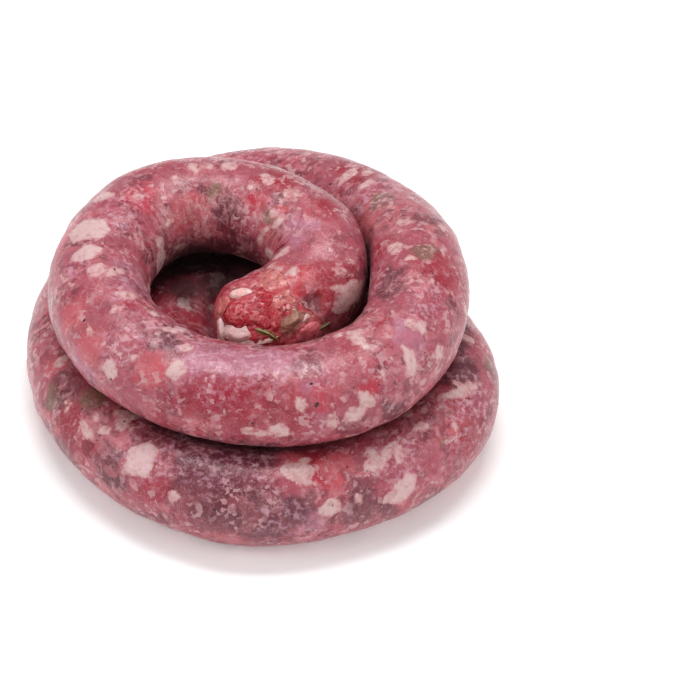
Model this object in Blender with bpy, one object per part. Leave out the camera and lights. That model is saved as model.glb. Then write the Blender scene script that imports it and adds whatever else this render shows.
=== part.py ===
"""Coil of fresh pork sausage: one long rope of stuffed casing, wound in two storeys.

The rope starts at a cut end in the middle of the coil, makes one turn on top, comes down
behind, makes a wider turn on the table, and curls inwards to a second cut end underneath.

Metres, +Z up. The coil lies on z = 0 with its bounding box centred on the Z axis. Its front,
where the upper turn shows over the lower one, faces -Y.
"""

import math
import random
from types import SimpleNamespace

import bmesh
import bpy
import numpy as np
from mathutils import Matrix, Vector, noise

MM = 0.001

# Rope, in millimetres
ROPE_RADIUS = 16.6
SWELL = 0.25
SWELL_WAVE = 120.0
TABLE_HEIGHT = 15.3

# Where the rope's centreline runs, in millimetres, counterclockwise seen from above
COIL_SHIFT = (-4.0, -0.3)
CUT_END = ((-12, -16, 37), (0, -14.5, 38), (11.5, -10.5, 39.6), (20, -2.5, 42))
UPPER_TURN = (
    (23.8, 8.5, 44.3), (19, 20, 45.3), (7, 31, 45.3), (-9, 36.5, 45.3), (-30, 33, 45.5),
    (-46.5, 13, 45), (-48.5, -15, 44.5), (-29, -42, 43.5), (4, -53.5, 43), (35, -47, 45),
    (52, -26, 46), (55, 4, 45.5),
)
WAY_DOWN = ((45.5, 34.5, 36), (23, 60.5, 26.5), (-9, 70.5, 18), (-36, 53.5, 15.3))
LOWER_TURN = (
    (-53, 25), (-58, -7.5), (-49, -36), (-29, -58), (-2, -69.2), (29, -64.3), (55, -48),
    (66, -23), (60, -1),
)
CURL_UNDER = ((42, 13), (18, 21), (-7, 22.5), (-24.5, 9.5), (-25, -13), (-8, -30), (22, -34))

# How the soft rope gives way, in millimetres: turns that lie against each other squash flat
CONTACT_GAP = 0.4
CONTACT_ROUNDING = 12
SAME_STRETCH = 52.0
FARTHEST_CONTACT = 60.0
CREASE_SHARE = 0.86
GRAZING = 0.05
FAR_AWAY = 1000.0
ALMOST_STRAIGHT = 0.0001

# Cut ends, in millimetres
END_LENGTH = 13.0
END_ROUNDNESS = 2.4
END_RINGS = 6
RAW_LENGTH = 30.0

# Relief of the filling, in millimetres: (size of a lump, height)
CASING_LUMPS = ((11.0, 0.45), (5.0, 0.18))
RAW_LUMPS = ((7.0, 1.5), (3.4, 0.6))

# Facets
SIDES = 20
RING_SPACING = 4.2
CURVE_POINTS = 4000

# Lumps of meat and fat at a cut end, in millimetres and degrees: (distance from the tip,
# turn round the rope from its outer side towards the top, length, width, height)
END_LUMPS = (
    (9, 53, 15, 11, 8),
    (19, 105, 12, 9, 6),
    (9, 78, 8, 5, 5),
    (5, 28, 12, 8, 7),
    (11, 12, 14, 4, 5),
    (15, 80, 10, 9, 7),
    (24, 60, 9, 8, 5),
    (6, 115, 10, 9, 7),
    (9, 160, 13, 10, 7),
    (7, 215, 12, 10, 7),
    (8, 320, 12, 9, 7),
)
LUMP_SINK = 0.32
LUMP_FACES = 9
LUMP_CUT = 0.39
HELD_BACK = 1.0
LUMP_RANDOM_SEED = 7

# Fennel seeds at a cut end: (distance from the tip, turn round the rope, turn of the seed)
END_SEEDS = ((17, 27, 20), (27, 37, 160), (23, 88, 60), (12, 135, 100))
SEED_LENGTH = 6.8
SEED_WIDTH = 2.3
SEED_HEIGHT = 1.8
SEED_SINK = 0.3

RAW_SAUSAGE_COLOUR = (0.40, 0.15, 0.17, 1.0)
RAW_SAUSAGE_ROUGHNESS = 0.38
SHARP_ANGLE = 40.0


def clear_scene():
    for thing in list(bpy.data.objects):
        bpy.data.objects.remove(thing, do_unlink=True)


def centreline_stations():
    """The rope's stations in order, its lower turn lying on the table."""
    on_table = [(x, y, TABLE_HEIGHT) for x, y in LOWER_TURN + CURL_UNDER]
    stations = np.array(list(CUT_END + UPPER_TURN + WAY_DOWN) + on_table, dtype=float)
    stations[:, :2] += COIL_SHIFT
    return stations


def smooth_curve(stations, count):
    """Points of the natural cubic spline through the stations."""
    chords = np.linalg.norm(np.diff(stations, axis=0), axis=1)
    knots = np.concatenate([[0.0], np.cumsum(chords)])
    slopes = np.diff(stations, axis=0) / chords[:, None]
    last = len(stations) - 1
    matrix = np.eye(last + 1)
    target = np.zeros((last + 1, 3))
    for i in range(1, last):
        matrix[i, i - 1:i + 2] = chords[i - 1], 2 * (chords[i - 1] + chords[i]), chords[i]
        target[i] = 6 * (slopes[i] - slopes[i - 1])
    bend = np.linalg.solve(matrix, target)
    along = np.linspace(0, knots[-1], count)
    span = np.clip(np.searchsorted(knots, along) - 1, 0, last - 1)
    width = chords[span][:, None]
    before = (along - knots[span])[:, None]
    after = width - before
    return (
        (bend[span] * after ** 3 + bend[span + 1] * before ** 3) / (6 * width)
        + (stations[span] / width - bend[span] * width / 6) * after
        + (stations[span + 1] / width - bend[span + 1] * width / 6) * before
    )


def ring_distances(total):
    """Even rings along the rope, closer together over its two rounded ends."""
    turn = np.linspace(0, math.pi / 2, END_RINGS + 1)[1:]
    end = END_LENGTH * (1 - np.cos(turn) ** (2 / END_ROUNDNESS))
    end[-1] = END_LENGTH
    middle = total - 2 * END_LENGTH
    steps = round(middle / RING_SPACING)
    even = END_LENGTH + middle * np.arange(1, steps) / steps
    return np.concatenate([end, even, total - end[::-1]])


def rope_radius(distance, total):
    """Radius of the rope, which closes over each end in a blunt dome."""
    from_end = np.minimum(distance, total - distance)
    inside = np.clip(1 - from_end / END_LENGTH, 0, 1)
    taper = (1 - inside ** END_ROUNDNESS) ** (1 / END_ROUNDNESS)
    return (ROPE_RADIUS + SWELL * np.sin(2 * math.pi * distance / SWELL_WAVE)) * taper


def rope_sections(distance, curve):
    """Centre, directions, bend and radius of the rope at each distance from its tip."""
    lengths = np.concatenate([[0.0], np.cumsum(np.linalg.norm(np.diff(curve, axis=0), axis=1))])
    tangent = np.gradient(curve, lengths, axis=0)
    bend = np.gradient(tangent, lengths, axis=0)

    def at_distance(values):
        return np.stack([np.interp(distance, lengths, values[:, i]) for i in range(3)], axis=1)

    along = at_distance(tangent)
    along /= np.linalg.norm(along, axis=1)[:, None]
    outward = np.cross(along, (0, 0, 1))
    outward /= np.linalg.norm(outward, axis=1)[:, None]
    return SimpleNamespace(
        distance=distance,
        centre=at_distance(curve),
        along=along,
        outward=outward,
        upward=np.cross(outward, along),
        bend=at_distance(bend),
        radius=rope_radius(distance, lengths[-1]),
    )


def soft_minimum(reach, limit):
    """The smaller of the two, rounded where they are close, and never above the limit."""
    return reach * (1 + (reach / limit) ** CONTACT_ROUNDING) ** (-1 / CONTACT_ROUNDING)


def contact_limit(rope, i, directions):
    """How far section i reaches in each direction before it meets another turn."""
    apart = rope.centre - rope.centre[i]
    gap = np.linalg.norm(apart, axis=1)
    other = (np.abs(rope.distance - rope.distance[i]) > SAME_STRETCH) & (gap < FARTHEST_CONTACT)
    apart = apart[other]
    gap = gap[other]
    wall = (gap ** 2 + rope.radius[i] ** 2 - rope.radius[other] ** 2) / (2 * gap) - CONTACT_GAP / 2
    towards = directions @ (apart / gap[:, None]).T
    reach = np.where(towards > GRAZING, wall / np.maximum(towards, GRAZING), np.inf)
    return reach.min(axis=1, initial=FAR_AWAY)


def lump_height(point, lumps):
    """Height of the filling's lumps at one point of the rope."""
    return sum(height * noise.noise(Vector(point) / size) for size, height in lumps)


def section_ring(rope, i, total):
    """The rope's outline at one section: lumpy, squashed by its neighbours and the table."""
    angle = 2 * math.pi * np.arange(SIDES) / SIDES
    directions = np.outer(np.cos(angle), rope.outward[i]) + np.outer(np.sin(angle), rope.upward[i])
    radius = rope.radius[i]
    from_end = min(rope.distance[i], total - rope.distance[i])
    rawness = max(0.0, 1 - from_end / RAW_LENGTH) * radius / ROPE_RADIUS
    reach = np.full(SIDES, radius)
    for side, foot in enumerate(rope.centre[i] + directions * radius):
        reach[side] += lump_height(foot, CASING_LUMPS) + rawness * lump_height(foot, RAW_LUMPS)
    reach = soft_minimum(reach, contact_limit(rope, i, directions))
    tightness = np.maximum(directions @ rope.bend[i], ALMOST_STRAIGHT)
    reach = soft_minimum(reach, CREASE_SHARE / tightness)
    ring = rope.centre[i] + directions * reach[:, None]
    ring[:, 2] = np.maximum(ring[:, 2], 0.0)
    return ring


def rope_mesh(rope, curve, total):
    """The whole rope as one closed tube."""
    mesh = bmesh.new()
    rings = []
    for i in range(len(rope.distance)):
        ring = section_ring(rope, i, total)
        rings.append([mesh.verts.new(Vector(point) * MM) for point in ring])
    for ring, following in zip(rings, rings[1:]):
        for side in range(SIDES):
            beside = (side + 1) % SIDES
            mesh.faces.new((ring[side], ring[beside], following[beside], following[side]))
    for ring, tip in ((rings[0], curve[0]), (rings[-1], curve[-1])):
        pole = mesh.verts.new(Vector(tip) * MM)
        for side in range(SIDES):
            mesh.faces.new((ring[side], ring[(side + 1) % SIDES], pole))
    bmesh.ops.recalc_face_normals(mesh, faces=mesh.faces)
    return mesh


def lump_mesh(length, width, height, draw):
    """An angular lump of meat or fat, with the flat faces that a mincer's knife leaves."""
    mesh = bmesh.new()
    bmesh.ops.create_icosphere(mesh, subdivisions=2, radius=0.5)
    cuts = []
    for _ in range(LUMP_FACES):
        cuts.append(Vector((draw.gauss(0, 1), draw.gauss(0, 1), draw.gauss(0, 1))).normalized())
    for vert in mesh.verts:
        for cut in cuts:
            vert.co -= cut * max(0.0, vert.co.dot(cut) - LUMP_CUT)
        vert.co = Vector((vert.co.x * length, vert.co.y * width, vert.co.z * height))
    return mesh


def seed_mesh(turn):
    """A spindle-shaped fennel seed of about thirty faces, lying in its own XY plane."""
    mesh = bmesh.new()
    bmesh.ops.create_uvsphere(mesh, u_segments=6, v_segments=4, radius=0.5)
    for vert in mesh.verts:
        vert.co = Vector((vert.co.z * SEED_LENGTH, vert.co.x * SEED_WIDTH, vert.co.y * SEED_HEIGHT))
    bmesh.ops.transform(mesh, matrix=Matrix.Rotation(math.radians(turn), 4, "Z"), verts=mesh.verts)
    return mesh


def lay_on_rope(mesh, rope, curve, distance, degrees, depth):
    """Lays a small shape on the rope's skin, its own top facing out, clear of other turns."""
    spots = rope_sections(distance + np.array([-0.5, 0.0, 0.5]), curve)
    angle = math.radians(degrees)
    direction = math.cos(angle) * spots.outward[1] + math.sin(angle) * spots.upward[1]
    slope = spots.radius[2] - spots.radius[0]
    out = Vector(direction - slope * spots.along[1]).normalized()
    across = out.cross(Vector(spots.along[1])).normalized()
    ahead = across.cross(out)
    centre = Vector(spots.centre[1] + direction * spots.radius[1]) - out * depth
    own = np.flatnonzero(np.abs(rope.distance - distance) < RAW_LENGTH)
    for vert in mesh.verts:
        spot = np.array(centre + ahead * vert.co.x + across * vert.co.y + out * vert.co.z)
        nearest = own[np.argmin(np.linalg.norm(rope.centre[own] - spot, axis=1))]
        offset = spot - rope.centre[nearest]
        reach = np.linalg.norm(offset)
        limit = contact_limit(rope, nearest, offset[None] / reach)[0] - HELD_BACK
        held = rope.centre[nearest] + offset * min(1.0, limit / reach)
        held[2] = max(held[2], HELD_BACK)
        vert.co = Vector(held) * MM


def add_object(name, mesh, collection):
    data = bpy.data.meshes.new(name)
    mesh.to_mesh(data)
    mesh.free()
    thing = bpy.data.objects.new(name, data)
    collection.objects.link(thing)
    return thing


def add_end_pieces(rope, curve, total, collection):
    """Lumps of meat and fat and fennel seeds, which stand out of both cut ends."""
    draw = random.Random(LUMP_RANDOM_SEED)
    for end, place in (("free", lambda distance: distance), ("hidden", lambda distance: total - distance)):
        for number, (distance, degrees, length, width, height) in enumerate(END_LUMPS):
            mesh = lump_mesh(length, width, height, draw)
            lay_on_rope(mesh, rope, curve, place(distance), degrees, LUMP_SINK * height)
            add_object(f"{end}_lump_{number}", mesh, collection)
        for number, (distance, degrees, turn) in enumerate(END_SEEDS):
            mesh = seed_mesh(turn)
            lay_on_rope(mesh, rope, curve, place(distance), degrees, SEED_SINK * SEED_HEIGHT)
            add_object(f"{end}_seed_{number}", mesh, collection)


def fuse(base, collection):
    """Joins the collection's shapes to the base in one body and removes their objects."""
    union = base.modifiers.new("fuse", "BOOLEAN")
    union.operation = "UNION"
    union.operand_type = "COLLECTION"
    union.collection = collection
    union.solver = "EXACT"
    graph = bpy.context.evaluated_depsgraph_get()
    fused = bpy.data.meshes.new_from_object(base.evaluated_get(graph))
    base.modifiers.remove(union)
    base.data = fused
    for shape in list(collection.objects):
        bpy.data.objects.remove(shape, do_unlink=True)
    bpy.data.collections.remove(collection)


def connected_bodies(mesh):
    """The mesh's vertices, grouped by the body that they belong to."""
    unseen = set(mesh.verts)
    bodies = []
    while unseen:
        frontier = [unseen.pop()]
        body = []
        while frontier:
            vert = frontier.pop()
            body.append(vert)
            for edge in vert.link_edges:
                other = edge.other_vert(vert)
                if other in unseen:
                    unseen.remove(other)
                    frontier.append(other)
        bodies.append(body)
    return sorted(bodies, key=len)


def keep_largest_body(data):
    """Drops loose scraps and the walls of any hollow that fusing sealed."""
    mesh = bmesh.new()
    mesh.from_mesh(data)
    for body in connected_bodies(mesh)[:-1]:
        bmesh.ops.delete(mesh, geom=body, context="VERTS")
    bmesh.ops.triangulate(mesh, faces=mesh.faces)
    mesh.to_mesh(data)
    mesh.free()


def raw_sausage_material():
    material = bpy.data.materials.new("raw sausage")
    material.use_nodes = True
    shader = material.node_tree.nodes["Principled BSDF"]
    shader.inputs["Base Color"].default_value = RAW_SAUSAGE_COLOUR
    shader.inputs["Roughness"].default_value = RAW_SAUSAGE_ROUGHNESS
    shader.inputs["Metallic"].default_value = 0.0
    return material


def build_sausage():
    curve = smooth_curve(centreline_stations(), CURVE_POINTS)
    total = float(np.linalg.norm(np.diff(curve, axis=0), axis=1).sum())
    rope = rope_sections(ring_distances(total), curve)
    sausage = add_object("sausage", rope_mesh(rope, curve, total), bpy.context.scene.collection)
    end_pieces = bpy.data.collections.new("end pieces")
    add_end_pieces(rope, curve, total, end_pieces)
    fuse(sausage, end_pieces)
    keep_largest_body(sausage.data)
    sausage.data.materials.clear()
    sausage.data.materials.append(raw_sausage_material())
    sausage.data.shade_smooth()
    sausage.data.set_sharp_from_angle(angle=math.radians(SHARP_ANGLE))
    return sausage


clear_scene()
build_sausage()
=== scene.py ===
"""A coil of fresh pork sausage: one rope of coarse meat in a moist natural casing.

Sizes are in millimetres unless they say metres; everything is scaled to metres as it becomes a
mesh. A place on the rope is a distance from its free tip and a turn round it in degrees: 0 is
the coil's outer side, 90 the top, 180 the inner side.
"""

import math
import random
from types import SimpleNamespace

import bmesh
import bpy
import numpy as np
from mathutils import Matrix, Vector, noise


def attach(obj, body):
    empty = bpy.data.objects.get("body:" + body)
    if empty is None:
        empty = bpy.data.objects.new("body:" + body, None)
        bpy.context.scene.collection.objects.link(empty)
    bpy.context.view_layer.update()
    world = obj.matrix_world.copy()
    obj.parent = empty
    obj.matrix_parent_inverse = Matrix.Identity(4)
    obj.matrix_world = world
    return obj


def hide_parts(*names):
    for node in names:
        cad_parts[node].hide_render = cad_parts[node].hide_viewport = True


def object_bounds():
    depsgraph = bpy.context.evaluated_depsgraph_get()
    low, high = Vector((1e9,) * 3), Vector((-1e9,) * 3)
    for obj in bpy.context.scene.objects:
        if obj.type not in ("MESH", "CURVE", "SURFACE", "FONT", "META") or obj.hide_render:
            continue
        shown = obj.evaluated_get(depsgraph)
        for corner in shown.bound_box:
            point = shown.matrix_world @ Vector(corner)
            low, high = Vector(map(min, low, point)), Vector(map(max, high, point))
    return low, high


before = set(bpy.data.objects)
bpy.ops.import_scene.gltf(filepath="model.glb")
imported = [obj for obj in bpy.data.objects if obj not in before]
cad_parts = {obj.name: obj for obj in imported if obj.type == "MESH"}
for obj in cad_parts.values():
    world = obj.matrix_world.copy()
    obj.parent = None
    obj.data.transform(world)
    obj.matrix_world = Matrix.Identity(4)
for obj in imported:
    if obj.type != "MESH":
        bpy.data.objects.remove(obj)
cad_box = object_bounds()

MM = 0.001

# The rope, as in the part's source
ROPE_RADIUS = 16.6
SWELL = 0.25
SWELL_WAVE = 120.0
TABLE_HEIGHT = 15.3
COIL_SHIFT = (-4.0, -0.3)
CUT_END = ((-12, -16, 37), (0, -14.5, 38), (11.5, -10.5, 39.6), (20, -2.5, 42))
UPPER_TURN = (
    (23.8, 8.5, 44.3), (19, 20, 45.3), (7, 31, 45.3), (-9, 36.5, 45.3), (-30, 33, 45.5),
    (-46.5, 13, 45), (-48.5, -15, 44.5), (-29, -42, 43.5), (4, -53.5, 43), (35, -47, 45),
    (52, -26, 46), (55, 4, 45.5),
)
WAY_DOWN = ((45.5, 34.5, 36), (23, 60.5, 26.5), (-9, 70.5, 18), (-36, 53.5, 15.3))
LOWER_TURN = (
    (-53, 25), (-58, -7.5), (-49, -36), (-29, -58), (-2, -69.2), (29, -64.3), (55, -48),
    (66, -23), (60, -1),
)
CURL_UNDER = ((42, 13), (18, 21), (-7, 22.5), (-24.5, 9.5), (-25, -13), (-8, -30), (22, -34))
CONTACT_GAP = 0.4
CONTACT_ROUNDING = 12
SAME_STRETCH = 52.0
FARTHEST_CONTACT = 60.0
LEAST_FACING = 0.05
CREASE_SHARE = 0.86
END_LENGTH = 13.0
END_ROUNDNESS = 2.4
RAW_LENGTH = 30.0
CASING_LUMPS = ((11.0, 0.45), (5.0, 0.18))
RAW_LUMPS = ((7.0, 1.5), (3.4, 0.6))
CURVE_POINTS = 4000
HELD_BACK = 1.0

# Fields of a mesh's points that are vectors; the others are numbers or colours
VECTOR_FIELDS = ("lay", "turn", "size")

# How finely the rope is meshed
SIDES = 100
RING_SPACING = 1.0
TIP_RINGS = 22

# Relief of what lies under the casing
FAT_RELIEF = 0.16
GRAIN_RELIEF = ((2.4, 0.10), (1.3, 0.05))

# Lumps and dents under the casing: (distance, turn, radius, height)
SWELLINGS = (
    (32, 64, 8, 1.3), (28.5, 44, 4, -1.6), (43, 22, 13, 1.8), (165, 95, 14, 0.5), (215, 40, 14, 0.4),
    (328, 158, 16, 1.2), (8, 112, 10, -2.0),
)

# Colours of the filling as they are seen through the casing, in 0-255 display values
MAUVE = (178, 86, 101)
DUSK = (110, 50, 64)
# A colour of painted shade, for the places deep in the coil
PAINTED_SHADE_COLOUR = (34, 8, 14)
CRIMSON = (168, 36, 60)
BLOOD = (190, 14, 42)
RED = (192, 46, 70)
SALMON = (206, 98, 106)
LILAC = (190, 126, 146)
OLIVE = (134, 108, 84)
CASING_TINT = (231, 221, 225)

# Pieces of fat that show: (distance, turn, length, width, angle of the long side, how white)
FAT_PIECES = (
    (150, 73, 14.7, 11.0, 88, 1.0), (134, 65, 7.5, 6.0, 139, 0.9), (161, 78, 12.0, 7.0, 98, 0.9),
    (198, 24, 7.6, 5.4, -48, 0.9), (216, 58, 7.4, 5.6, -97, 1.0), (595, 51, 13.4, 10.2, -93, 1.0),
    (640, 67, 10.6, 6.6, -44, 0.7), (648, 21, 8.6, 5.6, -7, 0.9), (670, 17, 12.0, 8.6, -144, 1.0),
    (268, 24, 8.0, 5.2, -57, 1.0), (265, 10, 7.4, 6.0, 5, 0.9), (246, 5, 6.4, 5.6, 2, 0.7),
    (282, 41, 12.0, 5.4, -103, 0.9), (291, 23, 6.6, 4.8, -161, 0.6), (665, 64, 10.6, 4.4, -78, 0.9),
    (672, 55, 6.4, 3.8, -117, 0.6), (703, 67, 21.0, 4.2, -33, 0.8), (38, 24, 14.0, 7.6, 165, 0.8),
    (105, 87, 6.0, 3.6, 105, 0.7), (171, 104, 8.7, 3.9, 104, 0.4), (183, 107, 7.8, 5.4, 55, 0.5),
    (381, 91, 13.2, 4.4, 104, 0.6), (274, 93, 13.4, 4.6, -91, 0.6), (290, 71, 5.0, 4.2, -103, 0.6),
    (608, 26, 4.8, 3.8, -45, 0.8), (575, 42, 10.5, 3.8, -12, 0.6), (581, 87, 10.0, 5.6, -145, 0.5),
    (259, 8, 7.2, 4.2, -84, 0.5), (252, 36, 5.4, 3.8, -81, 0.6), (238, 4, 5.6, 3.6, 0, 0.5),
    (30, 88, 5.2, 4.4, 40, 0.7), (657, 23, 4.6, 3.4, -73, 0.6), (683, 73, 6.7, 3.8, -15, 0.5),
    (692, 50, 5.8, 3.4, -105, 0.4), (643, 80, 5.0, 3.2, 10, 0.5), (206, 105, 5.5, 3.6, 30, 0.5),
    (34, 20, 8.0, 5.5, 150, 0.9), (583, 74, 6.4, 4.6, -60, 0.7), (668, 60, 5.0, 4.0, 30, 0.7),
    (644, 68, 6.0, 4.4, -40, 0.8), (39, 52, 5.5, 3.0, 120, 0.4), (208, 118, 6.0, 4.0, 60, 0.6),
    (93, 82, 6.5, 4.5, 40, 0.7), (36, 38, 7.0, 4.0, 130, 0.6), (724, 67, 6.0, 4.0, 70, 0.6),
)

# Strewn fat. Sizes of strewn things are the least and the greatest, and then the likeliest
FAT_CORNERS = (5, 8)
FAT_RAGGEDNESS = 0.9
PATCH_RAGGEDNESS = 3.0
OTHER_FAT = 330
OTHER_FAT_SIZE = (2.2, 7.5)
BIG_FAT = 190
BIG_FAT_SIZE = (4.0, 14.0, 6.5)
BIG_FAT_CLEARANCE = (24.0, 75.0)

# Places with lean meat alone: (distance, turn, radius)
LEAN_PLACES = (
    (631, 67, 6), (686, 20, 6), (43, 42, 5), (91, 168, 11), (80, 176, 7), (209, 30, 5), (661, 341, 5),
    (677, 350, 5), (562, 31, 4),
)

# Tints of the filling: (distance, turn, radius, colour)
TINTS = (
    (618, 51, 16, DUSK), (631, 16, 12, DUSK), (609, 103, 10, DUSK), (307, 120, 6, DUSK),
    (82, 194, 9, DUSK), (658, 33, 4, DUSK), (631, 97, 8, DUSK), (710, 76, 8, DUSK),
    # Painted shade among the tints: the dusk at (812, 75) under the coil's middle hole and at (27.5, 44) in
    # the dent beside the cut end
    (812, 75, 16, DUSK), (840, 90, 14, CRIMSON), (843, 112, 10, CRIMSON), (31, 62, 8, BLOOD),
    (37, 52, 8, CRIMSON), (27.5, 44, 3.5, DUSK), (643, 79, 5, SALMON), (249, 30, 8, CRIMSON),
    # The lilac tints at (226, 73), (245, 83), (286, 60) and (53, 116) are the filling's colour and partly
    # painted sheen on the tops of the turns
    (226, 73, 11, LILAC), (284, 79, 7, CRIMSON), (245, 83, 8, LILAC), (286, 60, 6, LILAC),
    (53, 116, 6, LILAC), (128, 103, 5, RED), (111, 144, 7, SALMON), (79, 129, 4, RED),
    (179, 39, 6, SALMON), (189, 30, 7, SALMON), (209, 44, 6.5, SALMON), (238, 41, 11, CRIMSON),
    (235, 19, 6, CRIMSON), (259, 37, 4.5, RED), (270, 36, 3.5, RED), (648, 91, 6, CRIMSON),
    (649, 55, 5, RED), (602, 31, 5.5, CRIMSON), (225, 33, 9, CRIMSON), (75, 72, 6, CRIMSON),
    (58, 75, 5.5, CRIMSON), (380, 82, 6.5, CRIMSON), (329, 140, 6, CRIMSON), (653, 68, 6, SALMON),
    (315, 66, 9, CRIMSON), (569, 31, 7, CRIMSON), (694, 23, 7, CRIMSON), (568, 77, 5, OLIVE),
    (558, 33, 4, OLIVE), (38, 10, 3.2, OLIVE), (97, 122, 3, OLIVE), (69, 134, 3, OLIVE),
    (354, 99, 4.5, OLIVE), (321, 85, 4, OLIVE), (687, 45, 2, OLIVE), (194, 116, 2.4, OLIVE),
)

# Painted shade: dusky tints laid over the others afterwards, darkening the lower sides of the turns and
# other places in shade, in the same form
PAINTED_SHADE_TINTS = (
    (655, 8, 6, DUSK), (663, 356, 7, DUSK), (679, 336, 6, DUSK), (275, 355, 6, DUSK),
    (138, 172, 7, DUSK), (640, 28, 5, DUSK),
)

# Strewn tints, and how often each colour comes
TINT_STRENGTH = 0.9
OTHER_TINTS = 330
OTHER_TINT_SIZE = (3.0, 9.0)
OTHER_TINT_ODDS = (
    (MAUVE, 0.30), (DUSK, 0.20), (CRIMSON, 0.22), (SALMON, 0.16), (LILAC, 0.10), (OLIVE, 0.02),
)

# Painted shade: places deep in the coil, where shade falls, painted dark and made rough with no coat:
# (distance, turn, radius)
PAINTED_SHADE_PLACES = (
    (818, 62, 26), (833, 96, 12), (462, 190, 22), (115, 225, 18), (106, 212, 12), (822, 112, 13),
    (452, 208, 22),
)

# Frosted places, where air and fat lie right under the casing, and where the frost also stands for painted
# sheen on the tops of the turns: (distance, turn, radius)
FROST_AND_SHEEN = (
    (226, 76, 15), (258, 74, 6), (245, 85, 12), (300, 66, 8), (608, 80, 9), (625, 82, 11),
    (66, 118, 5), (165, 62, 6), (672, 74, 8),
)
OTHER_FROST = 40
OTHER_FROST_FROM = 60.0
OTHER_FROST_SIZE = (4.0, 12.0)

# Peppercorn bits: (distance, turn, size)
PEPPER = (
    (256, 33, 2.6), (239, 14, 1.4), (170, 106, 1.3), (183, 47, 1.9), (583, 78, 1.2),
    (569, 56, 1.0), (580, 49, 1.0), (619, 23, 1.2), (645, 344, 1.2), (647, 341, 1.0),
    (266, 42, 0.8), (272, 35, 0.8), (276, 28, 1.0), (649, 24, 0.9), (661, 52, 0.8),
    (287, 37, 0.8), (295, 20, 0.8),
)

# Strewn pepper: none lies near the tips, and each bit is sunk by a share of its size
OTHER_PEPPER = 150
OTHER_PEPPER_SIZE = (0.4, 1.6, 0.6)
PEPPER_FREE_ENDS = 24.0
PEPPER_SINK = 0.14

# The casing's ragged rim round a cut end: (turn, distance from the tip)
CASING_RIM = (
    (-60, 6), (-45, 12), (-25, 22), (0, 27), (20, 28.5), (36, 28), (50, 26), (62, 25.5), (80, 26),
    (95, 28), (108, 26), (120, 22), (132, 14), (142, 7), (155, 4), (180, 3.5), (215, 3.5), (250, 4),
    (300, 6),
)

# The casing's rings are drawn together behind the rim, which is torn and lifts a little
RIM_BLEND = 42.0
RIM_RAGGED = ((5.0, 1.6), (1.6, 0.7))
NEAREST_RIM = 2.5
RIM_CURL = 0.2

# At the rim the casing turns in, to a pole inside the filling: (how far in, how far down)
RIM_TUCKS = ((3.0, -3.0), (0.9, -0.9), (0.1, -0.1))
CASING_POLE = 16.0

# The raw filling's core: its rings and sides, its length, how far it is sunk under the casing,
# and its roughness where it is bare: (size, height, offset of the noise)
CORE_TIP_RINGS = 25
CORE_SIDES = 200
CORE_SPACING = 0.5
CORE_LENGTH = 38.0
CORE_DEPTH = 1.0
CORE_ROUGHNESS = ((2.3, 0.5, 0.0), (1.0, 0.28, 5.0))

# Lumps that stand out of a cut end: (distance, turn, length, width, height, spin, kind)
RAW_PIECES = (
    (8.5, 60, 15, 12, 8, 0, "lean"), (17.5, 74, 10, 8, 5, 20, "lean"), (14, 47, 11, 7, 5, -20, "lean"),
    (10.5, 87, 8.5, 4.8, 4, -15, "fat"), (6.5, 40, 12, 10, 7.5, -12, "fat"), (2, 37, 10, 12, 7.5, 0, "fat"),
    (13, 23, 15, 4, 4.5, 0, "fat"), (23, 99, 12, 9.5, 6.5, 15, "salmon"), (15, 100, 11, 8, 3.6, 0, "rose"),
    (3, 80, 9, 8, 3.2, 0, "salmon"), (8, 250, 11, 9, 5, 0, "rose"), (22, 38, 10, 8.5, 6, 10, "dull"),
    # The pink lump at (25, 12) is lighter as painted light, in the shade of the turn in front
    (25.4, 34, 4.6, 2.6, 2.6, 25, "fat"), (25, 12, 12, 10, 6, 0, "pink_painted_light"), (4, 5, 9, 8, 6, 0, "dull"),
    (14, 6, 10, 8, 6, 30, "red"), (15, 215, 9, 7, 5, 0, "red"), (8, 330, 12, 9, 7, 0, "fat"),
)

# Lumps are sunk by a share of their height, cut flat on many sides, and then roughened
LUMP_SINK = 0.34
LUMP_FACES = 9
LUMP_DETAIL = 4
LUMP_CUT = 0.39
LUMP_ROUGHNESS = ((2.6, 0.4), (1.1, 0.14))

# Colours of the raw filling
RAW_COLOURS = {
    "core": (176, 60, 74), "lean": (166, 6, 38), "red": (186, 46, 62), "rose": (176, 80, 92),
    # The pink is painted light: a lighter colour for a lump and a tint that lie in the shade of the turn in
    # front
    "dull": (160, 118, 98), "pink_painted_light": (226, 120, 130), "salmon": (192, 108, 106), "fat": (224, 190, 187),
}

# Colours of the bare filling between the lumps: (distance, turn, radius, kind)
RAW_TINTS = (
    (18.5, 50, 7, "lean"), (20, 76, 5, "red"), (3, 76, 8, "rose"), (8, 105, 9, "rose"),
    # The pink tint at (26, 10) is painted light, in the shade of the turn in front
    (24, 98, 8, "salmon"), (22.7, 62, 4.5, "salmon"), (23, 30, 5, "dull"), (26, 10, 8, "pink_painted_light"),
    (12, 12, 8, "red"),
)

# Crumbs on a cut end, most of them in one patch: its distance, turn and radius
CRUMB_PATCH = (22.7, 61, 3.2)
END_CRUMBS = 34
PATCH_CRUMBS = 24
CRUMB_DEPTHS = (1, 28)
CRUMB_TURNS = (-60, 140)
CRUMB_SIZE = (0.7, 2.6, 1.2)
CRUMB_LIFT = (-0.6, 0.05)
CRUMB_DETAIL = 2

# Fennel seeds in a cut end: (distance, turn, spin)
END_SEEDS = ((14.6, 33, -36), (15.8, 29, -50), (28, 14, -8), (12, 205, 100))
SEED_LENGTH = 6.8
SEED_WIDTH = 2.3
SEED_HEIGHT = 1.8
SEED_SINK = 0.62
SEED_RIBS = 5

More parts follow.
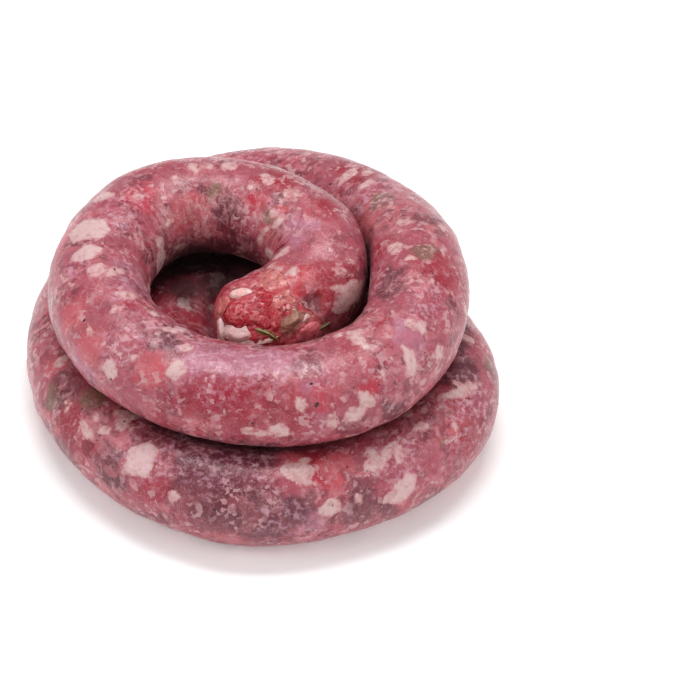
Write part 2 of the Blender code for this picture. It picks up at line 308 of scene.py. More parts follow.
# The camera, in metres and degrees
AIM = (-0.004, -0.0003, 0.030)
CAMERA_HEIGHT_ANGLE = 43.0
CAMERA_DISTANCE = 1.2
FRAME_PIXELS = 700
PIXELS_PER_MM = 3.0
SENSOR = 36.0
FRAME_SHIFT = (100 / 700, -37 / 700)

# Painted shadow: the floor is painted dark, with no glow, where it shows through the coil: its middle, and
# the radii where it brightens
PAINTED_SHADOW_MIDDLE = (-18.0, 26.0, 0.0)
PAINTED_SHADOW_RADII = (36.0, 42.0)

# Half the floor's width, in metres
FLOOR_HALF = 3.0

# Lamps: (name, place in metres, size in metres, watts)
LAMPS = (
    ("overhead", (0.0, 0.28, 1.1), (0.8, 0.3), 7.2), ("front", (0.2, -1.0, 0.55), (0.6, 0.5), 1.6),
    ("left", (-1.0, -0.3, 0.7), (0.5, 0.5), 2.8), ("right", (1.0, -0.4, 0.6), (0.5, 0.5), 2.1),
)
SKY_LIGHT = 0.4


def rope_curve():
    """Points of the natural cubic spline that the rope's centreline follows."""
    on_table = [(x, y, TABLE_HEIGHT) for x, y in LOWER_TURN + CURL_UNDER]
    stations = np.array(list(CUT_END + UPPER_TURN + WAY_DOWN) + on_table, dtype=float)
    stations[:, :2] += COIL_SHIFT
    chords = np.linalg.norm(np.diff(stations, axis=0), axis=1)
    knots = np.concatenate([[0.0], np.cumsum(chords)])
    slopes = np.diff(stations, axis=0) / chords[:, None]
    last = len(stations) - 1
    matrix = np.eye(last + 1)
    target = np.zeros((last + 1, 3))
    for i in range(1, last):
        matrix[i, i - 1:i + 2] = chords[i - 1], 2 * (chords[i - 1] + chords[i]), chords[i]
        target[i] = 6 * (slopes[i] - slopes[i - 1])
    bend = np.linalg.solve(matrix, target)
    along = np.linspace(0, knots[-1], CURVE_POINTS)
    span = np.clip(np.searchsorted(knots, along) - 1, 0, last - 1)
    width = chords[span][:, None]
    before = (along - knots[span])[:, None]
    after = width - before
    return (
        (bend[span] * after ** 3 + bend[span + 1] * before ** 3) / (6 * width)
        + (stations[span] / width - bend[span] * width / 6) * after
        + (stations[span + 1] / width - bend[span + 1] * width / 6) * before
    )


def tip_distances(rings):
    """Rings over one rounded end, closer together towards the tip."""
    turn = np.linspace(0, math.pi / 2, rings + 1)[1:]
    tip = END_LENGTH * (1 - np.cos(turn) ** (2 / END_ROUNDNESS))
    tip[-1] = END_LENGTH
    return tip


def ring_distances(total):
    """Even rings along the rope, between those over its two rounded ends."""
    end = tip_distances(TIP_RINGS)
    middle = total - 2 * END_LENGTH
    steps = round(middle / RING_SPACING)
    even = END_LENGTH + middle * np.arange(1, steps) / steps
    return np.concatenate([end, even, total - end[::-1]])


def read_along(distance, known, values):
    """Vectors that are known at some distances along the rope, read at other ones."""
    return np.stack([np.interp(distance, known, values[:, i]) for i in range(3)], axis=-1)


def rope_sections(distance, curve):
    """Centre, directions, bend and radius of the rope at each distance from its tip."""
    lengths = np.concatenate([[0.0], np.cumsum(np.linalg.norm(np.diff(curve, axis=0), axis=1))])
    total = lengths[-1]
    tangent = np.gradient(curve, lengths, axis=0)
    bend = np.gradient(tangent, lengths, axis=0)
    along = read_along(distance, lengths, tangent)
    along /= np.linalg.norm(along, axis=1)[:, None]
    outward = np.cross(along, (0, 0, 1))
    outward /= np.linalg.norm(outward, axis=1)[:, None]
    inside = np.clip(1 - np.minimum(distance, total - distance) / END_LENGTH, 0, 1)
    taper = (1 - inside ** END_ROUNDNESS) ** (1 / END_ROUNDNESS)
    return SimpleNamespace(
        distance=distance,
        total=total,
        centre=read_along(distance, lengths, curve),
        along=along,
        outward=outward,
        upward=np.cross(outward, along),
        bend=read_along(distance, lengths, bend),
        radius=(ROPE_RADIUS + SWELL * np.sin(2 * math.pi * distance / SWELL_WAVE)) * taper,
    )


def soft_minimum(reach, limit):
    """The smaller of the two, rounded where they are close, and never above the limit."""
    return reach * (1 + (reach / limit) ** CONTACT_ROUNDING) ** (-1 / CONTACT_ROUNDING)


def contact_limit(rope, i, directions):
    """How far section i reaches in each direction before it meets another turn."""
    apart = rope.centre - rope.centre[i]
    gap = np.linalg.norm(apart, axis=1)
    other = (np.abs(rope.distance - rope.distance[i]) > SAME_STRETCH) & (gap < FARTHEST_CONTACT)
    other[::2] = False
    apart = apart[other]
    gap = gap[other]
    wall = (gap ** 2 + rope.radius[i] ** 2 - rope.radius[other] ** 2) / (2 * gap) - CONTACT_GAP / 2
    towards = directions @ (apart / gap[:, None]).T
    reach = np.where(towards > LEAST_FACING, wall / np.maximum(towards, LEAST_FACING), np.inf)
    return reach.min(axis=1, initial=1e3)


def noise_field(points, size, offset=0.0):
    """Smooth noise between -1 and 1 at each point, with waves of a given size."""
    flat = points.reshape(-1, 3) / size + offset
    values = [noise.noise(Vector(point)) for point in flat]
    return np.array(values).reshape(points.shape[:-1])


def direction_at(angle, outward, upward):
    """The direction out of the rope at each angle round it."""
    return np.cos(angle)[..., None] * outward + np.sin(angle)[..., None] * upward


def make_skin():
    """The rope's skin as a grid of rings and sides, which answers for any place on the rope."""
    curve = rope_curve()
    total = float(np.linalg.norm(np.diff(curve, axis=0), axis=1).sum())
    skin = rope_sections(ring_distances(total), curve)
    skin.tips = curve[0], curve[-1]
    skin.angle = 2 * math.pi * np.arange(SIDES) / SIDES
    skin.directions = direction_at(skin.angle, skin.outward[:, None], skin.upward[:, None])
    feet = skin.centre[:, None] + skin.directions * skin.radius[:, None, None]
    from_end = np.minimum(skin.distance, total - skin.distance)
    rawness = np.clip(1 - from_end / RAW_LENGTH, 0, 1) * skin.radius / ROPE_RADIUS
    reach = np.repeat(skin.radius[:, None], SIDES, axis=1)
    for size, height in CASING_LUMPS + GRAIN_RELIEF:
        reach += height * noise_field(feet, size)
    near_ends = rawness > 0
    for size, height in RAW_LUMPS:
        reach[near_ends] += height * rawness[near_ends, None] * noise_field(feet[near_ends], size)
    skin.reach = reach
    skin.limit = np.array([contact_limit(skin, i, skin.directions[i]) for i in range(len(reach))])
    skin.squeeze = np.einsum("ksi,ki->ks", skin.directions, skin.bend) * ROPE_RADIUS
    skin.crease = CREASE_SHARE * ROPE_RADIUS / np.maximum(skin.squeeze, 1e-3)
    skin.drift = [noise_field(feet, 4.5, offset) for offset in (3.7, 11.3)]
    settle(skin)
    return skin


def within_box(points, margin=0.0):
    """Points held inside the solid's own box, so at the table too."""
    low, high = (np.array(corner) / MM for corner in cad_box)
    return np.clip(points, low + margin, high - margin)


def settle(skin):
    """Squashes the skin against its neighbours and the table, and places its points."""
    held = soft_minimum(soft_minimum(skin.reach, skin.limit), skin.crease)
    skin.held = held
    skin.points = within_box(skin.centre[:, None] + skin.directions * held[..., None])


def ring_before(skin, distance):
    """The ring before each distance, and how far on towards the next ring it is."""
    row = np.interp(distance, skin.distance, np.arange(len(skin.distance)))
    low = np.minimum(row.astype(int), len(skin.distance) - 2)
    return low, row - low


def mixed(first, second, share):
    return first * (1 - share) + second * share


def section_at(skin, distance, angle):
    """Direction, way along, plain radius and centre of the rope at some places."""
    outward, upward, along, centre = (
        read_along(distance, skin.distance, values)
        for values in (skin.outward, skin.upward, skin.along, skin.centre)
    )
    radius = np.interp(distance, skin.distance, skin.radius)
    return direction_at(angle, outward, upward), along, radius, centre


def on_skin(skin, distance, angle, lift=0.0):
    """Points on the skin, or lifted off it, at distances along the rope and angles round it."""
    low, share = ring_before(skin, distance)
    column = (angle / (2 * math.pi) * SIDES) % SIDES
    left = column.astype(int) % SIDES
    right = (left + 1) % SIDES
    held = mixed(
        mixed(skin.held[low, left], skin.held[low + 1, left], share),
        mixed(skin.held[low, right], skin.held[low + 1, right], share),
        column - np.floor(column),
    )
    direction, _, _, centre = section_at(skin, distance, angle)
    return within_box(centre + direction * (held + lift)[..., None])


def spot_on_skin(skin, distance, degrees, lift):
    """One point on the skin, or lifted off it."""
    place = [np.array([float(value)]) for value in (distance, math.radians(degrees), lift)]
    return on_skin(skin, *place)[0]


def half_turn(angle):
    """An angle brought to between half a turn back and half a turn on."""
    return (angle + math.pi) % (2 * math.pi) - math.pi


def piece_edge(skin, distance, degrees, length, width, angle, corners, ragged, draw):
    """How far the skin near a flat-sided piece lies inside its outline, and which rings those are."""
    at = int(np.argmin(np.abs(skin.distance - distance)))
    side = round(degrees / 360 * SIDES) % SIDES
    rows = np.flatnonzero(np.abs(skin.distance - distance) < max(length, width) + 6)
    rows = slice(rows[0], rows[-1] + 1)
    ahead = (skin.points[rows] - skin.points[at, side]) @ skin.along[at]
    turned = half_turn(skin.angle - math.radians(degrees))
    around = np.broadcast_to(turned * ROPE_RADIUS, ahead.shape)
    ahead = ahead + ragged * skin.drift[0][rows]
    around = around + ragged * skin.drift[1][rows]
    lean = math.radians(angle)
    u = (ahead * math.cos(lean) + around * math.sin(lean)) / (length / 2)
    v = (around * math.cos(lean) - ahead * math.sin(lean)) / (width / 2)
    edge = np.full(ahead.shape, np.inf)
    start = draw.uniform(0, 2 * math.pi)
    for corner in range(corners):
        facing = start + 2 * math.pi * (corner + draw.uniform(-0.22, 0.22)) / corners
        side_reach = draw.uniform(0.85, 1.05)
        edge = np.minimum(edge, side_reach - u * math.cos(facing) - v * math.sin(facing))
    return rows, edge * min(length, width) / 2


def soft_step(values, low, high):
    """0 below low, 1 above high, and smooth in between."""
    share = np.clip((values - low) / (high - low), 0, 1)
    return share * share * (3 - 2 * share)


def linear(colour):
    """A colour's display values as the linear light that shaders work with."""
    share = np.array(colour, dtype=float) / 255
    return np.where(share <= 0.04045, share / 12.92, ((share + 0.055) / 1.055) ** 2.4)


def anywhere(skin, draw):
    """A random distance and turn."""
    return draw.uniform(0, skin.total), draw.uniform(0, 360)


def round_patch(skin, distance, degrees, radius, corners, draw):
    """The same as piece_edge does, for a nearly round patch."""
    return piece_edge(skin, distance, degrees, 2 * radius, 2 * radius, 0, corners, 1.0, draw)


def near_placed_fat(distance, degrees):
    """Whether a place lies among the listed pieces of fat."""
    along, around = BIG_FAT_CLEARANCE
    return any(
        abs(distance - piece[0]) < along and abs((degrees - piece[1] + 180) % 360 - 180) < around
        for piece in FAT_PIECES
    )


def tint_skin(skin, tints, calm, draw):
    """Colours the lean meat in patches. A calm patch has fewer chunks and smears of fat in it."""
    for distance, degrees, radius, colour in tints:
        long_side = 2 * radius * draw.uniform(0.9, 1.35)
        lean = draw.uniform(0, 180)
        rows, edge = piece_edge(
            skin, distance, degrees, long_side, 2 * radius, lean, 6, PATCH_RAGGEDNESS, draw
        )
        weight = soft_step(edge, -0.12 * radius - 0.4, 0.28 * radius)
        skin.blush[rows] += (linear(colour) - skin.blush[rows]) * weight[..., None] * TINT_STRENGTH
        skin.calm[rows] = np.maximum(skin.calm[rows], calm * weight)


def strewn_tints(skin, draw):
    """Tints at random places all along the rope."""
    tints = []
    for _ in range(OTHER_TINTS):
        chance = draw.random()
        colour = MAUVE
        for choice, odds in OTHER_TINT_ODDS:
            chance -= odds
            if chance < 0:
                colour = choice
                break
        place = anywhere(skin, draw)
        tints.append((*place, draw.uniform(*OTHER_TINT_SIZE), colour))
    return tints


def strewn_fat(skin, draw):
    """Small pieces of fat anywhere, and big ones clear of the listed ones."""
    pieces = []
    for _ in range(OTHER_FAT):
        length = draw.uniform(*OTHER_FAT_SIZE)
        place = anywhere(skin, draw)
        width = length * draw.uniform(0.35, 0.9)
        pieces.append((*place, length, width, draw.uniform(0, 180), draw.uniform(0.2, 0.8)))
    for _ in range(BIG_FAT):
        place = anywhere(skin, draw)
        length = draw.triangular(*BIG_FAT_SIZE)
        width = length * draw.uniform(0.4, 0.85)
        piece = *place, length, width, draw.uniform(0, 180), draw.uniform(0.6, 1.0)
        if not near_placed_fat(*place):
            pieces.append(piece)
    return pieces


def paint_skin(skin):
    """Marks what lies under the skin: fat, tints of the lean meat, frost that is partly painted sheen,
    dusky tints of painted shade, and painted shade deep in the coil.
    """
    draw = random.Random(21)
    shape = skin.held.shape
    skin.fat = np.full(shape, -4.0)
    skin.blush = np.broadcast_to(linear(MAUVE), shape + (3,)).copy()
    skin.calm, skin.frost, skin.deep = np.zeros((3, *shape))
    tint_skin(skin, strewn_tints(skin, draw), 0.0, draw)
    tint_skin(skin, TINTS, 1.0, draw)
    # Painted shade, laid last
    tint_skin(skin, PAINTED_SHADE_TINTS, 0.6, random.Random(9))
    for *place, length, width, angle, white in strewn_fat(skin, draw) + list(FAT_PIECES):
        corners = draw.randint(*FAT_CORNERS)
        rows, edge = piece_edge(skin, *place, length, width, angle, corners, FAT_RAGGEDNESS, draw)
        skin.fat[rows] = np.maximum(skin.fat[rows], np.minimum(edge, 0.9 * white))
    for *place, radius in LEAN_PLACES:
        rows, edge = round_patch(skin, *place, radius, 9, draw)
        skin.fat[rows] = np.minimum(skin.fat[rows], -edge)
    frost = []
    for _ in range(OTHER_FROST):
        place = draw.uniform(OTHER_FROST_FROM, skin.total), draw.uniform(0, 360)
        frost.append((*place, draw.uniform(*OTHER_FROST_SIZE)))
    # Frost, the listed places partly painted sheen on the tops of the turns
    for *place, radius in frost + list(FROST_AND_SHEEN):
        rows, edge = piece_edge(skin, *place, 2.6 * radius, 2 * radius, 0, 6, PATCH_RAGGEDNESS, draw)
        skin.frost[rows] = np.maximum(skin.frost[rows], soft_step(edge, -0.3 * radius, 0.6 * radius))
    # Painted shade deep in the coil
    for *place, radius in PAINTED_SHADE_PLACES:
        rows, edge = round_patch(skin, *place, radius, 12, draw)
        skin.deep[rows] = np.maximum(skin.deep[rows], soft_step(edge, -0.1 * radius, 0.7 * radius))
    skin.reach += FAT_RELIEF * soft_step(skin.fat, -0.6, 0.8)
    for *place, radius, height in SWELLINGS:
        rows, edge = round_patch(skin, *place, radius, 8, draw)
        skin.reach[rows] += height * soft_step(edge, -0.3 * radius, 0.8 * radius)
    settle(skin)


def ragged_rim(skin, mirrored):
    """How far from the tip the casing's torn rim lies, at each side of one end."""
    turns = np.radians([turn for turn, _ in CASING_RIM])
    rim = np.interp(skin.angle, turns, [reach for _, reach in CASING_RIM], period=2 * math.pi)
    circle = np.stack([np.cos(skin.angle), np.sin(skin.angle), np.full(SIDES, 2.0 * mirrored)], axis=1)
    for size, height in RIM_RAGGED:
        rim += height * noise_field(circle * ROPE_RADIUS, size)
    return np.maximum(rim, NEAREST_RIM)


def add_object(name, data):
    thing = bpy.data.objects.new(name, data)
    bpy.context.scene.collection.objects.link(thing)
    return thing


def tube(name, points, poles, fields=None):
    """A closed tube through rings of points, with a pole over each end."""
    rings, sides = points.shape[:2]
    index = np.arange(rings * sides).reshape(rings, sides)
    beside = np.roll(index, -1, axis=1)
    quads = np.stack([index[:-1], beside[:-1], beside[1:], index[1:]], axis=-1).reshape(-1, 4)
    first, last = rings * sides, rings * sides + 1
    fans = [(int(b), int(a), first) for a, b in zip(index[0], beside[0])]
    fans += [(int(a), int(b), last) for a, b in zip(index[-1], beside[-1])]
    places = np.concatenate([points.reshape(-1, 3), np.array(poles)]) * MM
    data = bpy.data.meshes.new(name)
    data.from_pydata(places.tolist(), [], quads.tolist() + fans)
    for field, values in (fields or {}).items():
        at_poles = np.stack([values[0, 0], values[-1, 0]])
        flat = values.reshape(rings * sides, *values.shape[2:])
        mark(data, field, np.concatenate([flat, at_poles]))
    point_outwards(data)
    data.shade_smooth()
    return add_object(name, data)


def mark(data, field, values):
    """Gives a mesh's points a field: a number, a vector or a colour each."""
    if values.ndim == 1:
        data.attributes.new(field, "FLOAT", "POINT").data.foreach_set("value", values)
    elif field in VECTOR_FIELDS:
        data.attributes.new(field, "FLOAT_VECTOR", "POINT").data.foreach_set("vector", values.ravel())
    else:
        colours = np.concatenate([values, np.ones((len(values), 1))], axis=1)
        data.attributes.new(field, "FLOAT_COLOR", "POINT").data.foreach_set("color", colours.ravel())


def point_outwards(data):
    mesh = bmesh.new()
    mesh.from_mesh(data)
    bmesh.ops.recalc_face_normals(mesh, faces=mesh.faces)
    mesh.to_mesh(data)
    mesh.free()


def spread(values, skin, distance):
    """A field of the skin, read at other distances along the same sides."""
    low, share = ring_before(skin, distance)
    side = np.broadcast_to(np.arange(SIDES), distance.shape)
    if values.ndim == 3:
        share = share[..., None]
    return mixed(values[low, side], values[low + 1, side], share)


def from_rim(distance, rim):
    """Distances from a tip, drawn together near it so that the first ones lie on the rim."""
    return np.where(distance < RIM_BLEND, rim + distance * (RIM_BLEND - rim) / RIM_BLEND, distance)


def make_casing(skin):
    """The stuffed casing, from its torn rim at one end to its rim at the other."""
    free_rim, hidden_rim = ragged_rim(skin, False), ragged_rim(skin, True)
    distance = from_rim(np.repeat(skin.distance[:, None], SIDES, axis=1), free_rim)
    left = from_rim(skin.total - distance, hidden_rim)
    distance = skin.total - left
    lift = RIM_CURL * np.exp(-np.minimum(distance - free_rim, left - hidden_rim))
    front = np.array([free_rim + inward for inward, _ in RIM_TUCKS])
    back = skin.total - np.array([hidden_rim + inward for inward, _ in RIM_TUCKS[::-1]])
    distance = np.concatenate([front, distance, back])
    sunk = np.array([drop for _, drop in RIM_TUCKS])[:, None] * np.ones(SIDES)
    lift = np.concatenate([sunk, lift, sunk[::-1]])
    angle = np.broadcast_to(skin.angle, distance.shape)
    points = on_skin(skin, distance, angle, lift)
    poles = read_along(np.array([CASING_POLE, skin.total - CASING_POLE]), skin.distance, skin.centre)
    rim = np.minimum(distance - free_rim, skin.total - distance - hidden_rim)
    rim[:len(RIM_TUCKS)] = 0
    rim[-len(RIM_TUCKS):] = 0
    lay = np.stack([distance, ROPE_RADIUS * np.cos(angle), ROPE_RADIUS * np.sin(angle)], axis=-1)
    fields = {"lay": lay}
    for field in ("squeeze", "fat", "blush", "calm", "frost", "deep"):
        fields[field] = spread(getattr(skin, field), skin, distance)
    fields["rim"] = rim
    return tube("casing", points, poles, fields)


def plain_mesh(name, mesh):
    """A mesh's data, from the editable mesh that it was built as."""
    data = bpy.data.meshes.new(name)
    mesh.to_mesh(data)
    mesh.free()
    return data


def lump_mesh(length, width, height, draw, detail, roughness):
    """An angular lump of meat or fat, with the flat faces that a mincer's knife leaves."""
    mesh = bmesh.new()
    bmesh.ops.create_icosphere(mesh, subdivisions=detail, radius=0.5)
    cuts = [Vector([draw.gauss(0, 1) for _ in range(3)]).normalized() for _ in range(LUMP_FACES)]
    spot = Vector([draw.uniform(0, 90) for _ in range(3)])
    for vert in mesh.verts:
        outward = vert.co.normalized()
        for cut in cuts:
            over = max(0.0, vert.co.dot(cut) - LUMP_CUT)
            vert.co -= cut * over
        vert.co = Vector((vert.co.x * length, vert.co.y * width, vert.co.z * height))
        rough = sum(share * noise.noise(vert.co / size + spot) for size, share in LUMP_ROUGHNESS)
        vert.co += outward * rough * roughness
    return mesh


def lay_on_rope(points, skin, distance, degrees, depth):
    """Moves a small shape's points from its own plane onto the rope, clear of other turns."""
    angle = np.array([math.radians(degrees)] * 3)
    spots = np.array([distance - 0.5, distance, distance + 0.5])
    direction, along, radius, centre = section_at(skin, spots, angle)
    slope = radius[2] - radius[0]
    out = direction[1] - slope * along[1]
    out /= np.linalg.norm(out)
    across = np.cross(out, along[1])
    across /= np.linalg.norm(across)
    ahead = np.cross(across, out)
    middle = centre[1] + direction[1] * radius[1] - out * depth
    spots = middle + points @ np.stack([ahead, across, out])
    own = np.flatnonzero(np.abs(skin.distance - distance) < RAW_LENGTH)
    gaps = np.linalg.norm(spots[:, None] - skin.centre[own][None], axis=2)
    nearest = own[np.argmin(gaps, axis=1)]
    for ring in np.unique(nearest):
        mine = nearest == ring
        offset = spots[mine] - skin.centre[ring]
        reach = np.linalg.norm(offset, axis=1)
        limit = contact_limit(skin, ring, offset / reach[:, None]) - HELD_BACK
        spots[mine] = skin.centre[ring] + offset * np.minimum(1.0, limit / reach)[:, None]
    spots[:, 2] = np.maximum(spots[:, 2], HELD_BACK)
    return spots


def rope_place(skin, depth, mirrored):
    """The distance along the rope of a place at a depth behind one of its two tips."""
    return skin.total - depth if mirrored else depth


def make_core(skin, name, mirrored):
    """The filling at a cut end: rough where it is bare, and sunk under the casing behind the rim."""
    even = np.arange(END_LENGTH + CORE_SPACING, CORE_LENGTH, CORE_SPACING)
    depth = np.concatenate([tip_distances(CORE_TIP_RINGS), even])
    angle = 2 * math.pi * np.arange(CORE_SIDES) / CORE_SIDES
    rim = np.interp(angle, skin.angle, ragged_rim(skin, mirrored), period=2 * math.pi)
    depths = np.repeat(depth[:, None], CORE_SIDES, axis=1)
    angles = np.broadcast_to(angle, depths.shape)
    distance = rope_place(skin, depths, mirrored)
    bare = soft_step(rim - depths, -2.0, 0.2)
    points = on_skin(skin, distance, angles)
    rough = sum(height * noise_field(points, size, offset) for size, height, offset in CORE_ROUGHNESS)
    points = on_skin(skin, distance, angles, bare * (CORE_DEPTH + rough) - CORE_DEPTH)
    tint = np.broadcast_to(linear(RAW_COLOURS["core"]), points.shape).copy()
    for at, degrees, radius, kind in RAW_TINTS:
        around = half_turn(angles - math.radians(degrees)) * ROPE_RADIUS
        apart = np.hypot(depths - at, around) + 1.5 * noise_field(points, 3.0, 9.0)
        weight = 1 - soft_step(apart, 0.6 * radius, radius)
        tint += (linear(RAW_COLOURS[kind]) - tint) * weight[..., None]
    pole = read_along(rope_place(skin, depth[-1], mirrored), skin.distance, skin.centre)
    fields = {"blush": tint, "fat": np.full(bare.shape, -2.0)}
    return tube(name, points, [skin.tips[int(mirrored)], pole], fields)


def make_lump(skin, name, mirrored, piece, draw):
    """One lump of meat or fat that stands out of a cut end."""
    depth, degrees, length, width, height, spin, kind = piece
    mesh = lump_mesh(length, width, height, draw, LUMP_DETAIL, 0.6 if kind == "fat" else 1.0)
    lean = math.radians(spin)
    turn = np.array([
        [math.cos(lean), math.sin(lean), 0],
        [-math.sin(lean), math.cos(lean), 0],
        [0, 0, 1],
    ])
    local = np.array([vert.co[:] for vert in mesh.verts]) @ turn
    laid = lay_on_rope(local, skin, rope_place(skin, depth, mirrored), degrees, LUMP_SINK * height)
    for vert, spot in zip(mesh.verts, laid):
        vert.co = Vector(spot) * MM
    data = plain_mesh(name, mesh)
    count = len(data.vertices)
    mark(data, "blush", np.tile(linear(RAW_COLOURS[kind]), (count, 1)))
    mark(data, "fat", np.full(count, 1.0 if kind == "fat" else -1.0))
    data.shade_smooth()
    return add_object(name, data)


def make_raw_end(skin, name, mirrored):
    """The raw filling at one cut end: its core, and the lumps that stand out of it."""
    draw = random.Random(7)
    things = [make_core(skin, name, mirrored)]
    for piece in RAW_PIECES:
        things.append(make_lump(skin, f"{name}_lump", mirrored, piece, draw))
    return join(things)


def join(things):
    """Joins objects in the first one."""
    with bpy.context.temp_override(
        active_object=things[0], object=things[0], selected_objects=things, selected_editable_objects=things
    ):
        bpy.ops.object.join()
    return things[0]


class Flow:
    """What a node's output carries. Arithmetic on it adds Math nodes to its material."""

    def __init__(self, recipe, socket):
        self.recipe = recipe
        self.socket = socket

    def math(self, operation, first, second):
        return self.recipe.node("ShaderNodeMath", {"operation": operation}, {0: first, 1: second})

    def __add__(self, other):
        return self.math("ADD", self, other)

    def __sub__(self, other):
        return self.math("SUBTRACT", self, other)

    def __rsub__(self, other):
        return self.math("SUBTRACT", other, self)

    def __mul__(self, other):
        return self.math("MULTIPLY", self, other)

    __radd__ = __add__
    __rmul__ = __mul__


class Recipe:
    """A material's node tree, built from short calls."""

    def __init__(self, name):
        self.material = bpy.data.materials.new(name)
        self.material.use_nodes = True
        self.tree = self.material.node_tree
        self.shader = self.tree.nodes["Principled BSDF"]
        self.colour = None

    def plug(self, socket, value):
        if isinstance(value, Flow):
            self.tree.links.new(value.socket, socket)
        else:
            socket.default_value = value

    def node(self, kind, settings, values, output=0):
        """Adds one node: its settings first, then the values or links of its sockets."""
        made = self.tree.nodes.new(kind)
        for setting, value in settings.items():
            setattr(made, setting, value)
        for socket, value in values.items():
            self.plug(made.inputs[socket], value)
        return Flow(self, made.outputs[output])

    def finish(self, **values):
        """Sets the shader's own sockets, named with _ for a space."""
        for socket, value in values.items():
            self.plug(self.shader.inputs[socket.replace("_", " ")], value)
        return self.material

    def place(self):
        """Where a point of the piece is, in millimetres."""
        metres = self.node("ShaderNodeTexCoord", {}, {}, "Object")
        return self.node("ShaderNodeVectorMath", {"operation": "SCALE"}, {0: metres, "Scale": 1 / MM})

    def vector(self, operation, first, second):
        return self.node("ShaderNodeVectorMath", {"operation": operation}, {0: first, 1: second})

    def shifted(self, place, size, amount):
        """A place pushed about by noise."""
        push = self.vector("SUBTRACT", self.cloud(place, size, output="Color"), (0.5, 0.5, 0.5))
        push = self.vector("MULTIPLY", push, (amount, amount, amount))
        return self.vector("ADD", place, push)

    def cloud(self, place, size, detail=2.0, roughness=0.5, output="Fac"):
        values = {"Vector": place, "Scale": 1 / size, "Detail": detail, "Roughness": roughness}
        return self.node("ShaderNodeTexNoise", {}, values, output)

    def edges(self, place, size):
        """How far a place lies from the edge of its cell."""
        values = {"Vector": place, "Scale": 1 / size}
        return self.node("ShaderNodeTexVoronoi", {"feature": "DISTANCE_TO_EDGE"}, values, "Distance")

    def soft_cells(self, place, size, softness):
        """A random colour for each cell, with the cells' edges run into each other."""
        values = {"Vector": place, "Scale": 1 / size, "Smoothness": softness}
        return self.node("ShaderNodeTexVoronoi", {"feature": "SMOOTH_F1"}, values, "Color")

    def pick(self, cells, channel, low, high):
        """Some of the cells: those in which one of the random colour's channels is high."""
        return self.rise(self.node("ShaderNodeSeparateColor", {}, {0: cells}, channel), low, high)

    def rise(self, value, low, high):
        """0 below low, 1 above high, and smooth in between."""
        values = {"Value": value, "From Min": low, "From Max": high}
        return self.node("ShaderNodeMapRange", {"interpolation_type": "SMOOTHSTEP"}, values)

    def blend(self, share, first, second, mode="MIX"):
        """Mixes two colours. A Mix node's sockets for colours are inputs 6 and 7 and output 2."""
        settings = {"data_type": "RGBA", "blend_type": mode, "clamp_result": False}
        return self.node("ShaderNodeMix", settings, {0: share, 6: paint(first), 7: paint(second)}, 2)

    def cover(self, share, colour, mode="MIX"):
        """Lays a share of another colour over the base colour."""
        self.colour = self.blend(share, self.colour, colour, mode)

    def patches(self, place, size, low, high, detail=2.0, roughness=0.5):
        """Noise cut into soft patches: 1 where it is high, 0 where it is low."""
        return self.rise(self.cloud(place, size, detail, roughness), low, high)

    def field(self, name, output="Fac"):
        return self.node("ShaderNodeAttribute", {"attribute_name": name}, {}, output)

    def bump(self, height, distance, strength=1.0, under=None):
        values = {"Height": height, "Distance": distance * MM, "Strength": strength}
        if under is not None:
            values["Normal"] = under
        return self.node("ShaderNodeBump", {}, values)


def paint(colour):
    """A colour for a node's socket. What another node works out is left as it is."""
    if isinstance(colour, Flow):
        return colour
    return (*linear(colour).tolist(), 1.0)


def lay_lean_meat(skin, place, wavy):
    """Tinted chunks of lean meat, with darker and lighter neighbours and smears of fat."""
    skin.colour = skin.field("blush", "Color")
    busy = skin.patches(place, 13.0, 0.42, 0.56, 1.0) * 0.7 + 0.3
    busy = busy * (1 - skin.field("calm") * 0.55)
    chunks, bits = skin.soft_cells(wavy, 5.4, 0.35), skin.soft_cells(wavy, 2.4, 0.3)
    for cells, channel, low, high, share, colour in (
        (chunks, "Red", 0.42, 0.8, 0.65, (112, 36, 54)),
        (chunks, "Green", 0.5, 0.85, 0.55, (208, 118, 126)),
        (bits, "Red", 0.48, 0.85, 0.45, (208, 138, 144)),
        (bits, "Blue", 0.5, 0.85, 0.45, (100, 32, 48)),
    ):
        skin.cover(skin.pick(cells, channel, low, high) * busy * share, colour)
    smear = skin.patches(wavy, 3.2, 0.5, 0.7, 4.0, 0.6)
    skin.cover(smear * busy * 0.6, (214, 160, 162))


def lay_grains(skin, place, wavy):
    """Grains of fat mixed into the lean, in crowds, and finer flecks everywhere."""
    crowd = skin.patches(place, 8.0, 0.4, 0.62)
    grain = skin.pick(skin.soft_cells(wavy, 1.5, 0.15), "Green", 0.66, 0.82) * crowd
    skin.cover(grain * 0.6, (224, 186, 186))
    flecks = skin.patches(place, 0.75, 0.6, 0.7, 2.0, 0.7)
    skin.cover(flecks * 0.42, (226, 184, 188))
    return grain


def lay_streaks(skin):
    """Soft pale streaks round the rope, where a bend squeezes the filling."""
    lay = skin.shifted(skin.field("lay", "Vector"), 7.0, 5.0)
    stretched = skin.vector("MULTIPLY", lay, (1 / 2.2, 1 / 8.0, 1 / 8.0))
    streak = skin.patches(stretched, 1.0, 0.48, 0.66, 3.0, 0.6)
    squeezed = skin.rise(skin.field("squeeze"), 0.05, 0.42)
    skin.cover(streak * (squeezed * 0.45 + 0.06), (214, 162, 160))
    return streak * squeezed


